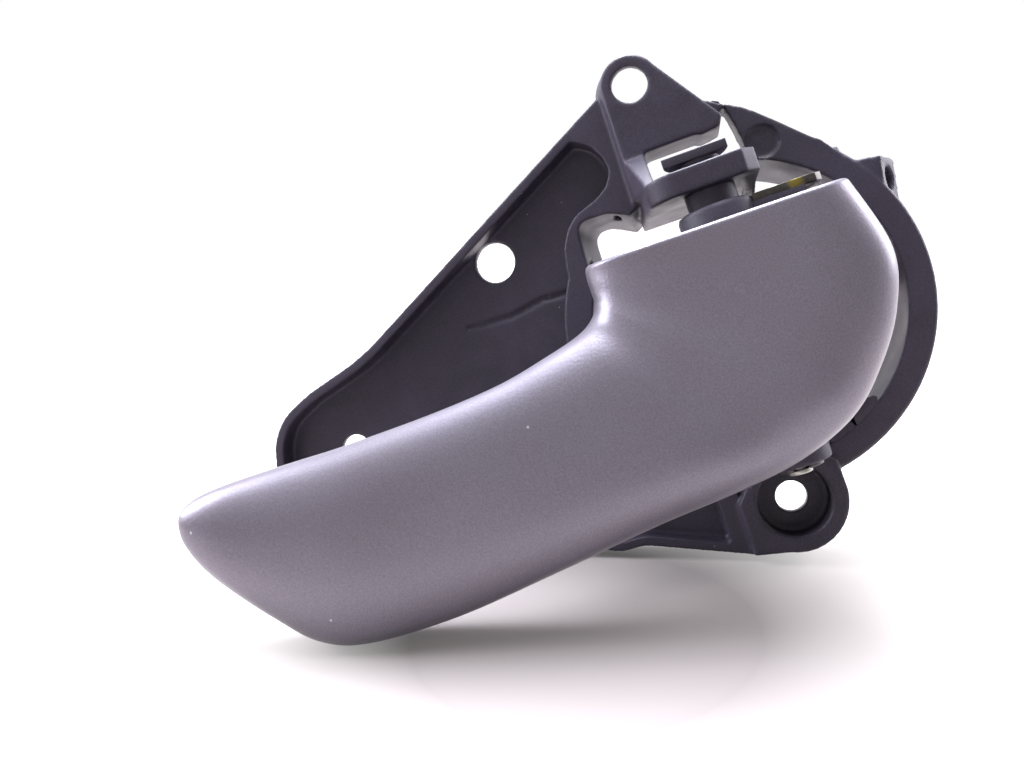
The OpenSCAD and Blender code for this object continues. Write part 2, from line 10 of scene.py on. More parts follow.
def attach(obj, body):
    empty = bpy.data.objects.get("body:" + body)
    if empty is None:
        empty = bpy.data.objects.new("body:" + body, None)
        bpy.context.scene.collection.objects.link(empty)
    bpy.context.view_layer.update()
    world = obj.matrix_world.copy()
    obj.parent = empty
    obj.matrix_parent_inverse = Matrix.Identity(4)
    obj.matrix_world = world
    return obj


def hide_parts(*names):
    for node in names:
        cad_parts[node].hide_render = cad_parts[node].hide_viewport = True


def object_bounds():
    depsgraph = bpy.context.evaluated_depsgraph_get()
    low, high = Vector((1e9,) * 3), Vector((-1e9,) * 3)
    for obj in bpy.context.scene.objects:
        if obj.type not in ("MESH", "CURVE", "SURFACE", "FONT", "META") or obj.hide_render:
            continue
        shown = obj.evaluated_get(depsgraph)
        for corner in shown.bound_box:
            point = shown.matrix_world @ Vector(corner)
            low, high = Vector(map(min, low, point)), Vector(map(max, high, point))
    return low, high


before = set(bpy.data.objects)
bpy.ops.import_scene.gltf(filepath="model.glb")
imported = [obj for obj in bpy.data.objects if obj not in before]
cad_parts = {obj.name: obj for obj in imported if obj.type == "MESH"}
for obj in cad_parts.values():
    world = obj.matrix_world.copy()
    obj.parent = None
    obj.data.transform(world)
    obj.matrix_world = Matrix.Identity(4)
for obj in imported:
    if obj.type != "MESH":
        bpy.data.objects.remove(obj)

bl_info = {
    "name": "Car interior door handle",
    "version": (1, 0, 0),
    "blender": (4, 5, 0),
    "location": "View3D > Sidebar > Door handle",
    "description": "Builds the painted lever, the moulded frame and the hinge parts of an inner door handle",
    "category": "Object",
}

MM = 0.001
CAD_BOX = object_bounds()

# The hinge pin's axis, and the heights and radii of what stands on it, as the solids have them, in millimetres
HINGE = (50.5, -22.0)
LUG_UNDER, CORE_TOP, CORE_FOOT, SPRING_TOP = -4.0, -7.7, -58.3, -44.6
PIN_FOOT, LOW_LUG_UNDER, PIN_TOP = -64.8, -62.8, 3.5
PIN_R, GROOVE_R, BORE_R, BUSH_R, WASHER_R, WASHER_THICK = 2.5, 1.9, 2.55, 5.3, 5.5, 1
# A turned piece closes this far from its own axis
AXIS_R = 0.01
# The return spring's wire, the coil's radius to the middle of the wire, its pitch and turns, and its way in the lever
WIRE, COIL_R, COIL_PITCH, COIL_TURNS, SPRING_WAY_R = 1.6, 6.5, 1.7, 6, 7.6
# Screws from behind as (x, z), the plane that their heights count from, and the radius of their ways in the lever
SCREWS, SCREW_Y, SCREW_WAY_R = [(40, -21), (57, -35.5)], -11.0, 1.6
# Rivets on the arm as (x, y), and the height of the arm's top
RIVETS, RIVET_Z = [(62.6, -20.6), (67, -20)], -8.0
# Half of each as (radius, height) from the foot up; a point given twice keeps its corner sharp
SCREW_HALF = [(AXIS_R, -9.1), (0.9, -9.1), (1.5, -8.0), (1.5, 0.5), (1.5, 0.5), (2.8, 0.5), (2.8, 1.4), (2.2, 2.3),
              (AXIS_R, 2.3)]
RIVET_HALF = [(AXIS_R, -5.2), (2.1, -5.2), (2.1, -4.6), (1.5, -4.6), (1.5, 0), (2.3, 0), (2.3, 0.35), (1.7, 0.6),
              (AXIS_R, 0.6)]

# Lever sections from the tip to the open neck: x and z of the inner end and of the outer end, the depth in y and half
# of the thickness
SECTIONS = np.array([
    [-66.2, -35.6, -66.3, -38.2, -52.0, 1.8],
    [-65.2, -33.6, -65.9, -41.6, -51.8, 4.0],
    [-61.8, -32.2, -63.6, -46.8, -51.5, 5.6],
    [-56.2, -31.6, -59.7, -52.3, -51.0, 6.8],
    [-48.4, -31.4, -53.4, -59.8, -50.0, 7.6],
    [-39.5, -31.4, -46.6, -66.4, -49.0, 8.2],
    [-31.3, -31.4, -37.4, -69.3, -48.0, 8.6],
    [-13.9, -30.7, -20.0, -69.4, -45.0, 9.0],
    [0.4, -29.3, 0.7, -66.8, -42.0, 9.6],
    [10.4, -26.9, 21.5, -63.9, -38.0, 11.5],
    [17.3, -24.7, 37.8, -62.3, -34.0, 13.8],
    [20.6, -22.3, 50.7, -60.1, -30.0, 16.0],
    [21.9, -19.6, 61.9, -55.1, -28.0, 17.0],
    [21.9, -17.0, 69.4, -47.4, -27.3, 16.8],
    [21.8, -14.6, 75.2, -37.8, -27.1, 16.6],
    [22.0, -12.6, 77.8, -26.6, -27.0, 16.5],
    [22.3, -11.3, 74.0, -11.4, -27.0, 16.5]])
LAST = len(SECTIONS) - 1
# How far the tip's cap bulges past the first section
TIP_BULGE = 0.2
# How square a ring is: the exponent of its outline on the grip, and what is added over some sections of the neck
GRIP_SQUARE, NECK_ADDS, NECK_FROM, NECK_OVER = 2.4, 2.0, 6, 6
# How steeply a ring rises towards the door at the rim, and the section of the neck where that starts
RIM_RISE, RISE_FROM = 0.1, 12
# The sections where the grip starts, where the rings begin to follow the rim, and where the hollow ends
GRIP_START, NECK_START, HOLLOW_END = 4, 10.0, 3.2
# Rings in each stretch outside, from the cap on the tip to the neck, then in each rounded edge and inside
CAP_RINGS, TIP_RINGS, GRIP_RINGS, NECK_RINGS = 7, 40, 54, 64
EDGE_RINGS, IN_NECK_RINGS, IN_GRIP_RINGS = 8, 34, 30


# ---- Small helpers -------------------------------------------------------------------------------------------------

def linear(colour):
    """The linear colour, with its alpha, of an sRGB hex value such as 77717c."""
    parts = [int(colour[i:i + 2], 16) / 255 for i in (0, 2, 4)]
    return tuple(c / 12.92 if c <= 0.04045 else ((c + 0.055) / 1.055) ** 2.4 for c in parts) + (1.0,)


def per_metre(size):
    """The scale of a pattern whose cells are size millimetres across."""
    return 1000.0 / size


def fill(tree, node, inputs):
    """Fills a node's inputs with values or with (node, output) links."""
    for key, value in inputs.items():
        if isinstance(value, tuple) and hasattr(value[0], "outputs"):
            tree.links.new(value[0].outputs[value[1]], node.inputs[key])
        else:
            node.inputs[key].default_value = value


def add(tree, kind, inputs=None, **settings):
    """Adds a node with its settings, and fills its inputs."""
    made = tree.nodes.new(kind)
    for key, value in settings.items():
        setattr(made, key, value)
    fill(tree, made, inputs or {})
    return made


def new_material(name):
    """An empty material's tree with its surface shader, its output and object coordinates."""
    material = bpy.data.materials.new(name)
    material.use_nodes = True
    tree = material.node_tree
    tree.nodes.clear()
    place = add(tree, "ShaderNodeTexCoord")
    shader = add(tree, "ShaderNodeBsdfPrincipled")
    add(tree, "ShaderNodeOutputMaterial", {"Surface": (shader, "BSDF")})
    return material, tree, (place, "Object"), shader


def mesh_object(name, points, faces, smooth=True):
    """A mesh object from points in millimetres, at the origin."""
    mesh = bpy.data.meshes.new(name)
    mesh.from_pydata([tuple(c * MM for c in p) for p in points], [], faces)
    mesh.update()
    mesh.polygons.foreach_set("use_smooth", [smooth] * len(mesh.polygons))
    made = bpy.data.objects.new(name, mesh)
    bpy.context.scene.collection.objects.link(made)
    return made


def outward(piece):
    """Turns a closed mesh's faces outwards."""
    work = bmesh.new()
    work.from_mesh(piece.data)
    bmesh.ops.recalc_face_normals(work, faces=work.faces)
    work.to_mesh(piece.data)
    work.free()


# An edge that turns by more degrees than the first counts as sharp, and none turns by more than the second
SHARP, ALL_SMOOTH = 40, 180


def settle(piece, sharp=SHARP):
    """Turns a piece with its modifiers into a plain mesh, with edges sharper than the angle kept crisp."""
    bpy.context.view_layer.update()
    held = piece.evaluated_get(bpy.context.evaluated_depsgraph_get())
    mesh = bpy.data.meshes.new_from_object(held)
    piece.modifiers.clear()
    piece.data = mesh
    mesh.polygons.foreach_set("use_smooth", [True] * len(mesh.polygons))
    mesh.set_sharp_from_angle(angle=math.radians(sharp))
    return piece


def dress(piece, material, body, slot, *nodes):
    """Gives a piece its finish and its body, and hides the solids that it stands for."""
    piece.data.materials.clear()
    piece.data.materials.append(material)
    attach(piece, body)
    if nodes:
        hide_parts(*nodes)
    return piece


# Corners closer than this many metres are one, and triangles that turn by fewer degrees than this are joined
MERGE, FLAT = 2e-6, 0.5


def merged_copy(node, name):
    """A copy of a solid's mesh with its doubled corners merged and its flat triangles joined."""
    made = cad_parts[node].copy()
    made.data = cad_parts[node].data.copy()
    for key in list(made.keys()):
        del made[key]
    made.parent = None
    made.matrix_world = Matrix.Identity(4)
    made.name = made.data.name = name
    bpy.context.scene.collection.objects.link(made)
    work = bmesh.new()
    work.from_mesh(made.data)
    bmesh.ops.remove_doubles(work, verts=work.verts, dist=MERGE)
    bmesh.ops.dissolve_limit(work, angle_limit=math.radians(FLAT), verts=work.verts, edges=work.edges)
    work.to_mesh(made.data)
    work.free()
    made.data.update()
    return made


def rounded_copy(node, name, width, segments=3):
    """A copy of a solid whose edges are rounded over the width, in millimetres."""
    made = merged_copy(node, name)
    edges = made.modifiers.new("Edges", "BEVEL")
    edges.width, edges.segments = width * MM, segments
    edges.limit_method, edges.angle_limit = "ANGLE", math.radians(SHARP)
    return settle(made)


def lathe(name, profile, sides=96, at=HINGE):
    """A closed turned piece round an upright line, from the (radius, height) points of one half of its section."""
    points, faces = [], []
    for i in range(sides):
        c, s = math.cos(2 * math.pi * i / sides), math.sin(2 * math.pi * i / sides)
        points += [(at[0] + r * c, at[1] + r * s, z) for r, z in profile]
    n = len(profile)
    for i in range(sides):
        j = (i + 1) % sides
        for k in range(n):
            m = (k + 1) % n
            faces.append((i * n + k, j * n + k, j * n + m, i * n + m))
    made = mesh_object(name, points, faces)
    outward(made)
    return made


def rounded(profile, radius, steps=4, most=0.45):
    """A (radius, height) profile with its corners rounded, over no more than that share of either side."""
    found, n = [], len(profile)
    for i, p in enumerate(profile):
        a, p, b = Vector(profile[i - 1]), Vector(p), Vector(profile[(i + 1) % n])
        r = min(radius, most * (a - p).length, most * (b - p).length)
        start, end = p + (a - p).normalized() * r, p + (b - p).normalized() * r
        for k in range(steps + 1):
            t = k / steps
            found.append(tuple(start * (1 - t) ** 2 + p * 2 * t * (1 - t) + end * t * t))
    return found


def modifier_tree(name, sockets):
    """A Geometry Nodes tree with a geometry in and out and the named inputs, each (name, socket type, default)."""
    tree = bpy.data.node_groups.new(name, "GeometryNodeTree")
    tree.interface.new_socket("Geometry", in_out="INPUT", socket_type="NodeSocketGeometry")
    tree.interface.new_socket("Geometry", in_out="OUTPUT", socket_type="NodeSocketGeometry")
    for title, kind, default in sockets:
        made = tree.interface.new_socket(title, in_out="INPUT", socket_type=kind)
        if default is not None:
            made.default_value = default
    return tree, add(tree, "NodeGroupInput")


def run_tree(piece, tree, values):
    """Puts a Geometry Nodes tree on a piece, sets its inputs by their names, and turns the result into a mesh."""
    maker = piece.modifiers.new(tree.name, "NODES")
    maker.node_group = tree
    named = {s.name: s.identifier for s in tree.interface.items_tree if s.in_out == "INPUT"}
    for title, value in values.items():
        maker[named[title]] = value
    return settle(piece)


# ---- Finishes ------------------------------------------------------------------------------------------------------

# White specks of dust in the lever's paint: their places and their radius, in millimetres
DUST_ON_PAINT, DUST_R = [(-62.5, -57.1, -38.4), (-41.1, -55.6, -61.8), (4.8, -50.6, -38.5)], 0.26


def satin_paint(colours):
    """Satin metallic lacquer sprayed on moulded ABS: grey flake under a dull clear coat, with a fine leathery peel
    that breaks up the highlights, and a few white specks of dust."""
    material, tree, place, shader = new_material("satin_metallic_lacquer")
    drift = add(tree, "ShaderNodeTexNoise", {"Vector": place, "Scale": per_metre(38), "Detail": 2.0})
    body = add(tree, "ShaderNodeMix", {"Factor": (drift, "Fac"), "A": linear(colours.paint_warm),
                                       "B": linear(colours.paint_cool)}, data_type="RGBA")
    # Flake is a few hundredths of a millimetre across, drawn at 0.3 mm so that it shows
    flake = add(tree, "ShaderNodeTexNoise", {"Vector": place, "Scale": per_metre(0.3), "Detail": 1.0})
    spark = add(tree, "ShaderNodeMapRange", {"Value": (flake, "Fac"), "From Min": 0.3, "From Max": 0.7,
                                             "To Min": 0.87, "To Max": 1.13})
    lit = add(tree, "ShaderNodeVectorMath", {0: (body, "Result"), "Scale": (spark, "Result")}, operation="SCALE")
    shown = 0.0
    for spot in DUST_ON_PAINT:
        gone = add(tree, "ShaderNodeVectorMath", {0: place, 1: tuple(c * MM for c in spot)}, operation="DISTANCE")
        dot = add(tree, "ShaderNodeMath", {0: (gone, "Value"), 1: DUST_R * MM}, operation="LESS_THAN")
        either = add(tree, "ShaderNodeMath", {0: shown, 1: (dot, "Value")}, operation="MAXIMUM")
        shown = (either, "Value")
    coat = add(tree, "ShaderNodeMix", {"Factor": shown, "A": (lit, "Vector"), "B": linear("bdb9bf")},
               data_type="RGBA")
    peel = add(tree, "ShaderNodeTexNoise", {"Vector": place, "Scale": per_metre(0.55), "Detail": 2.0})
    wave = add(tree, "ShaderNodeTexNoise", {"Vector": place, "Scale": per_metre(4.0), "Detail": 1.0})
    both = add(tree, "ShaderNodeMath", {0: (wave, "Fac"), 1: 0.35, 2: (peel, "Fac")}, operation="MULTIPLY_ADD")
    bump = add(tree, "ShaderNodeBump", {"Height": (both, "Value"), "Strength": 0.6, "Distance": 0.07 * MM})
    dull = add(tree, "ShaderNodeMapRange", {"Value": (drift, "Fac"), "From Min": 0.3, "From Max": 0.7,
                                            "To Min": 0.36, "To Max": 0.44})
    fill(tree, shader, {"Base Color": (coat, "Result"), "Roughness": (dull, "Result"), "Normal": (bump, "Normal"),
                        "Metallic": 0.45, "Specular IOR Level": 0.5, "Coat Weight": 0.3, "Coat Roughness": 0.38})
    return material


def moulded_nylon(name, colours, grain=0.35, shade=1.0):
    """Glass-filled black nylon, injection moulded: a fine sparked grain, faint paler flow marks where the fibres
    come to the surface, sharp edges a little paler, partly rub wear and partly a painted highlight, and light dust."""
    material, tree, place, shader = new_material(name)
    flow = add(tree, "ShaderNodeTexNoise", {"Vector": place, "Scale": per_metre(14), "Detail": 4.0,
                                            "Distortion": 1.2})
    base = add(tree, "ShaderNodeMix", {"Factor": (flow, "Fac"), "A": linear(colours.black_deep),
                                       "B": linear(colours.black_pale)}, data_type="RGBA")
    fibre = add(tree, "ShaderNodeTexNoise", {"Vector": place, "Scale": per_metre(grain), "Detail": 2.0})
    tone = add(tree, "ShaderNodeMapRange", {"Value": (fibre, "Fac"), "From Min": 0.3, "From Max": 0.7,
                                            "To Min": 0.8 * shade, "To Max": 1.2 * shade})
    toned = add(tree, "ShaderNodeVectorMath", {0: (base, "Result"), "Scale": (tone, "Result")}, operation="SCALE")
    shape = add(tree, "ShaderNodeNewGeometry")
    # Sharp edges are drawn paler: partly rub wear, partly a painted highlight where the light catches them
    edge_wear_and_highlight = add(tree, "ShaderNodeMapRange", {"Value": (shape, "Pointiness"), "From Min": 0.53, "From Max": 0.62,
                                           "To Min": 0.0, "To Max": 0.35})
    worn_and_highlit = add(tree, "ShaderNodeMix", {"Factor": (edge_wear_and_highlight, "Result"), "A": (toned, "Vector"),
                                       "B": linear("57505c")}, data_type="RGBA")
    cell = add(tree, "ShaderNodeTexVoronoi", {"Vector": place, "Scale": per_metre(5.5)})
    speck = add(tree, "ShaderNodeMath", {0: (cell, "Distance"), 1: 0.025}, operation="LESS_THAN")
    dusty = add(tree, "ShaderNodeMix", {"Factor": (speck, "Value"), "A": (worn_and_highlit, "Result"),
                                        "B": linear("8f8a90")}, data_type="RGBA")
    bump = add(tree, "ShaderNodeBump", {"Height": (fibre, "Fac"), "Strength": 0.5, "Distance": 0.05 * MM})
    dull = add(tree, "ShaderNodeMapRange", {"Value": (flow, "Fac"), "From Min": 0.3, "From Max": 0.7,
                                            "To Min": 0.42, "To Max": 0.58})
    fill(tree, shader, {"Base Color": (dusty, "Result"), "Roughness": (dull, "Result"), "Normal": (bump, "Normal"),
                        "IOR": 1.53, "Specular IOR Level": 0.3})
    return material


def zinc_steel(name, tint, bloom=0.6, grease_at=None):
    """Zinc-plated steel, rolled and stamped: grey metal in the given tint, darkened as painted shade on parts in
    shade, with a faint cloudy bloom and fine rolling lines. A dab of old yellow grease lies on it where grease_at
    says."""
    material, tree, place, shader = new_material(name)
    cloud = add(tree, "ShaderNodeTexNoise", {"Vector": place, "Scale": per_metre(3.0), "Detail": 4.0})
    haze = add(tree, "ShaderNodeMapRange", {"Value": (cloud, "Fac"), "From Min": 0.45, "From Max": 0.75,
                                            "To Min": 0.0, "To Max": bloom})
    metal = add(tree, "ShaderNodeMix", {"Factor": (haze, "Result"), "A": linear(tint), "B": linear("c9c7c1")},
                data_type="RGBA")
    rough = add(tree, "ShaderNodeMapRange", {"Value": (cloud, "Fac"), "From Min": 0.3, "From Max": 0.7,
                                             "To Min": 0.28, "To Max": 0.45})
    colour = (metal, "Result")
    if grease_at:
        near = add(tree, "ShaderNodeVectorMath", {0: place, 1: tuple(c * MM for c in grease_at)},
                   operation="DISTANCE")
        ragged = add(tree, "ShaderNodeTexNoise", {"Vector": place, "Scale": per_metre(1.6), "Detail": 2.0})
        reach = add(tree, "ShaderNodeMath", {0: (ragged, "Fac"), 1: 2.4 * MM, 2: (near, "Value")},
                    operation="MULTIPLY_ADD")
        patch = add(tree, "ShaderNodeMapRange", {"Value": (reach, "Value"), "From Min": 2.2 * MM,
                                                 "From Max": 3.2 * MM, "To Min": 0.9, "To Max": 0.0})
        smear = add(tree, "ShaderNodeMix", {"Factor": (patch, "Result"), "A": colour, "B": linear("8a7a3c")},
                    data_type="RGBA")
        colour = (smear, "Result")
    lines = add(tree, "ShaderNodeTexNoise", {"Vector": place, "Scale": per_metre(0.5), "Detail": 2.0})
    bump = add(tree, "ShaderNodeBump", {"Height": (lines, "Fac"), "Strength": 0.3, "Distance": 0.02 * MM})
    fill(tree, shader, {"Base Color": colour, "Roughness": (rough, "Result"), "Normal": (bump, "Normal"),
                        "Metallic": 1.0})
    return material


def soft_rubber():
    """Moulded rubber: near black and dull, with a slightly mottled bloom."""
    material, tree, place, shader = new_material("moulded_rubber")
    bloom = add(tree, "ShaderNodeTexNoise", {"Vector": place, "Scale": per_metre(1.5), "Detail": 3.0})
    tone = add(tree, "ShaderNodeMix", {"Factor": (bloom, "Fac"), "A": linear("1c1b1c"), "B": linear("333133")},
               data_type="RGBA")
    bump = add(tree, "ShaderNodeBump", {"Height": (bloom, "Fac"), "Strength": 0.3, "Distance": 0.05 * MM})
    fill(tree, shader, {"Base Color": (tone, "Result"), "Normal": (bump, "Normal"), "Roughness": 0.75})
    return material


def acetal():
    """Moulded white acetal, slick and slightly translucent, greyed by grease."""
    material, tree, place, shader = new_material("moulded_acetal")
    grime = add(tree, "ShaderNodeTexNoise", {"Vector": place, "Scale": per_metre(2.5), "Detail": 3.0})
    tone = add(tree, "ShaderNodeMix", {"Factor": (grime, "Fac"), "A": linear("b9b39d"), "B": linear("ddd9cd")},
               data_type="RGBA")
    fill(tree, shader, {"Base Color": (tone, "Result"), "Roughness": 0.32, "Subsurface Weight": 0.1,
                        "Subsurface Scale": 0.6 * MM})
    return material


# ---- Sizes and colours that a user would change --------------------------------------------------------------------

class HandleColours(bpy.types.PropertyGroup):
    """Colours of the handle, as sRGB hex values."""
    paint_warm: StringProperty(name="Paint, warm", description="Warm side of the lever's lacquer", default="766d78")
    paint_cool: StringProperty(name="Paint, cool", description="Cool side of the lever's lacquer", default="7a7784")
    black_deep: StringProperty(name="Black, deep", description="Darker tone of the moulded nylon", default="332e37")
    black_pale: StringProperty(name="Black, pale", description="Paler tone of the moulded nylon", default="474050")


class HandleShape(bpy.types.PropertyGroup):
    """Sizes of the lever's shell, and how finely the lever and the frame are made."""
    shell_wall: FloatProperty(name="Shell wall", description="Wall of the lever's shell", default=2.5 * MM,
                              min=1.5 * MM, max=3 * MM, unit="LENGTH")
    rim_round: FloatProperty(name="Rim rounding", description="Rounding of the neck's open rim", default=1.0 * MM,
                             min=0.2 * MM, max=1.2 * MM, unit="LENGTH")
    ring_points: IntProperty(name="Ring points", description="Points round each ring of the lever", default=112,
                             min=24, max=200)
    frame_voxel: FloatProperty(name="Frame detail", description="Size of the frame's remeshed cells",
                               default=0.42 * MM, min=0.25 * MM, max=2 * MM, unit="LENGTH")
    frame_triangles: IntProperty(name="Frame triangles", description="Triangles left in the frame", default=180000,
                                 min=20000, max=195000)


# ---- Pieces --------------------------------------------------------------------------------------------------------

def section(s):
    """The lever's sections at the places s along it, one row each."""
    i = np.clip(np.floor(s).astype(int), 0, LAST - 1)
    t = (s - i)[:, None]
    a, b = SECTIONS[np.maximum(i - 1, 0)], SECTIONS[i]
    c, d = SECTIONS[i + 1], SECTIONS[np.minimum(i + 2, LAST)]
    return 0.5 * (2 * b + (c - a) * t + (2 * a - 5 * b + 4 * c - d) * t * t + (3 * b - a - 3 * c + d) * t ** 3)


def ring_at(s, wall, turn):
    """Points of the lever's surface at the places s and the turns round the ring, pulled in by the wall."""
    q = section(s)
    across = q[:, 2:4] - q[:, 0:2]
    long = np.linalg.norm(across, axis=1)
    e, mid = across / long[:, None], (q[:, 0:2] + q[:, 2:4]) / 2
    square = GRIP_SQUARE + NECK_ADDS * np.clip((s - NECK_FROM) / NECK_OVER, 0, 1)
    rise = RIM_RISE * np.maximum(0, (s - RISE_FROM) / (LAST - RISE_FROM))
    c, n = np.cos(turn), np.sin(turn)
    along = (long / 2 - wall) * np.sign(c) * np.abs(c) ** (2 / square)
    y = q[:, 4] + (q[:, 5] - wall) * np.sign(n) * np.abs(n) ** (2 / square)
    return np.stack([mid[:, 0] + e[:, 0] * along, y, mid[:, 1] + e[:, 1] * along + rise * (y - q[:, 4])], axis=1)


def even_turns(count, drawn=0.12):
    """Turns round a ring, drawn together so that the flatter sides and the tight corners both get enough points."""
    t = np.linspace(0, 2 * math.pi, count, endpoint=False)
    return t - drawn * np.sin(4 * t)


def curve(first, corner, last, t):
    """The ring at t on the curve that starts at one ring, bends towards a second and ends at a third."""
    return first * (1 - t) ** 2 + corner * 2 * t * (1 - t) + last * t * t


def lever_rings(wall, radius, count):
    """Rings of the lever's shell from its closed tip, up the outside, over the rounded rim and down the inside."""
    turn = even_turns(count)

    def level(place, inset=0):
        """The ring at one place all round, set in from the surface."""
        return ring_at(np.full(count, float(place)), inset, turn)

    def edge_start(inset):
        """Where the rim's rounding starts on each line up the neck, looked for down from the rim in small steps."""
        top, found = level(LAST, inset), np.full(count, float(LAST))
        for step in np.linspace(0, 3, 301):
            near = np.linalg.norm(level(LAST - step, inset) - top, axis=1) < radius
            found = np.where(near, LAST - step, found)
        return found

    tip = level(0)
    centre = tip.mean(axis=0)
    rings = []
    for k in range(1, CAP_RINGS):
        a = math.pi / 2 * (1 - k / CAP_RINGS)
        rings.append(centre + (tip - centre) * math.cos(a) + np.array([-TIP_BULGE * math.sin(a), 0, 0]))
    for s in np.linspace(0, GRIP_START, TIP_RINGS, endpoint=False):
        rings.append(level(s))
    for s in np.linspace(GRIP_START, NECK_START, GRIP_RINGS, endpoint=False):
        rings.append(level(s))
    out_top, in_top = edge_start(0), edge_start(wall)
    for u in np.linspace(0, 1, NECK_RINGS):
        rings.append(ring_at(NECK_START + (out_top - NECK_START) * u, 0, turn))
    first = rings[-1]
    for t in np.linspace(0, 1, EDGE_RINGS)[1:]:
        rings.append(curve(first, level(LAST), level(LAST, radius), t))
    # A rim wider than its two roundings has a flat between them, and a ring along its middle
    if wall / 2 - radius > 0.05:
        rings.append(level(LAST, wall / 2))
    last = ring_at(in_top, wall, turn)
    for t in np.linspace(0, 1, EDGE_RINGS):
        rings.append(curve(level(LAST, wall - radius), level(LAST, wall), last, t))
    for u in np.linspace(1, 0, IN_NECK_RINGS)[1:]:
        rings.append(ring_at(NECK_START + (in_top - NECK_START) * u, wall, turn))
    for s in np.linspace(NECK_START, HOLLOW_END, IN_GRIP_RINGS)[1:]:
        rings.append(level(s, wall))
    return centre + np.array([-TIP_BULGE, 0, 0]), rings


def cut_away(piece, cutters):
    """Cuts the cutters' shapes out of a piece, and removes them."""
    for cutter in cutters:
        outward(cutter)
        knife = piece.modifiers.new("Cut", "BOOLEAN")
        knife.object, knife.operation, knife.solver = cutter, "DIFFERENCE", "EXACT"
    settle(piece, sharp=35)
    for cutter in cutters:
        bpy.data.objects.remove(cutter)


def block(name, low, high):
    """A plain block between two corners, used as a cutter."""
    x, y, z = zip(low, high)
    points = [(x[i & 1], y[i >> 1 & 1], z[i >> 2 & 1]) for i in range(8)]
    faces = [(0, 1, 3, 2), (4, 6, 7, 5), (0, 4, 5, 1), (2, 3, 7, 6), (0, 2, 6, 4), (1, 5, 7, 3)]
    return mesh_object(name, points, faces, smooth=False)


def rod(name, centre, radius, low, high, axis="Z", sides=64):
    """A closed round bar along an axis, used as a cutter."""
    points = []
    for z in (low, high):
        for i in range(sides):
            a = 2 * math.pi * i / sides
            p = (centre[0] + radius * math.cos(a), centre[1] + radius * math.sin(a), z)
            points.append(p if axis == "Z" else (p[0], p[2], p[1]))
    faces = [tuple(range(sides)), tuple(range(2 * sides - 1, sides - 1, -1))]
    faces += [(i, sides + i, sides + (i + 1) % sides, (i + 1) % sides) for i in range(sides)]
    made = mesh_object(name, points, faces, smooth=False)
    outward(made)
    return made


def plate(name, outline, front, back, edge):
    """A flat piece from an outline in x and z, between two depths in y, with its edges rounded."""
    n = len(outline)
    points = [(x, y, z) for y in (front, back) for x, z in outline]
    faces = [tuple(range(n)), tuple(range(2 * n - 1, n - 1, -1))]
    faces += [(i, n + i, n + (i + 1) % n, (i + 1) % n) for i in range(n)]
    made = mesh_object(name, points, faces)
    outward(made)
    edges = made.modifiers.new("Edges", "BEVEL")
    edges.width, edges.segments, edges.limit_method = edge * MM, 3, "NONE"
    return settle(made)


# Small tabs on the strap's inner edge, and thin flash and crumbs that the mould left: outlines in x and z, then the
# two depths in y and the rounding
MOULDED_BITS = (
    ("strap_tab_upper", [(71.6, -55.7), (70.7, -55.2), (69.1, -55.4), (67.2, -56.6), (65.5, -57.9), (64.4, -58.9),
                         (65.4, -61.0), (71.3, -57.4)], -7.9, -6.2, 0.25),
    ("strap_tab_lower", [(65.8, -58.3), (64.0, -58.6), (62.0, -59.4), (60.4, -60.4), (58.7, -61.7), (61.5, -63.9),
                         (66.2, -61.2)], -7.9, -6.2, 0.25),
    ("mould_flash", [(57.2, 16.0), (57.5, 16.7), (58.2, 16.9), (59.4, 16.3), (59.6, 15.6)], -7.7, -7.3, 0.08),
    ("crumb_upper", [(32.3, 24.6), (32.5, 25.3), (33.2, 25.4), (33.3, 24.7)], -7.6, -6.8, 0.15),
    ("crumb_lower", [(31.4, 23.6), (31.5, 24.1), (32.1, 24.3), (32.3, 23.6)], -7.6, -7.0, 0.12),
)


class HANDLE_OT_lever(bpy.types.Operator):
    """Builds the painted lever as one smooth shell with a rounded rim and an open underside for the hinge"""
    bl_idname = "handle.lever"
    bl_label = "Painted lever"

    def execute(self, context):
        shape, colours = context.scene.handle_shape, context.scene.handle_colours
        count = shape.ring_points
        tip, rings = lever_rings(shape.shell_wall / MM, shape.rim_round / MM, count)
        # The finer rings bulge a hundredth of a millimetre past the solid's flat facets, and are held to its box
        front = CAD_BOX[0][1] / MM
        points = [tuple(tip)] + [(x, max(y, front), z) for r in rings for x, y, z in r]
        end = rings[-1].mean(axis=0)
        points.append(tuple(end))
        faces = [(0, 1 + (k + 1) % count, 1 + k) for k in range(count)]
        for j in range(len(rings) - 1):
            a, b = 1 + j * count, 1 + (j + 1) * count
            faces += [(a + k, a + (k + 1) % count, b + (k + 1) % count, b + k) for k in range(count)]
        a = 1 + (len(rings) - 1) * count
        faces += [(a + k, a + (k + 1) % count, len(points) - 1) for k in range(count)]
        lever = mesh_object("painted_lever", points, faces)
        outward(lever)
        # Ways in from below and behind, for the spring, the lower lug, the spring's leg and the screws
        x, y = HINGE
        below, behind, screw_end = -75, 3, -14.6
        cutters = [rod("spring_way", HINGE, SPRING_WAY_R, below, SPRING_TOP),
                   block("lug_way", (x - 7, y, below), (x + 13, behind, CORE_FOOT + 0.3)),
                   block("leg_way", (x - 9.5, y + 1, below + 1), (x + 9.5, behind - 0.5, SPRING_TOP - 0.01))]
        cutters += [rod("screw_way", spot, SCREW_WAY_R, screw_end, 1, axis="Y", sides=32) for spot in SCREWS]
        cut_away(lever, cutters)
        dress(lever, satin_paint(colours), "lever", "silver_paint", "lever_shell")
        return {"FINISHED"}


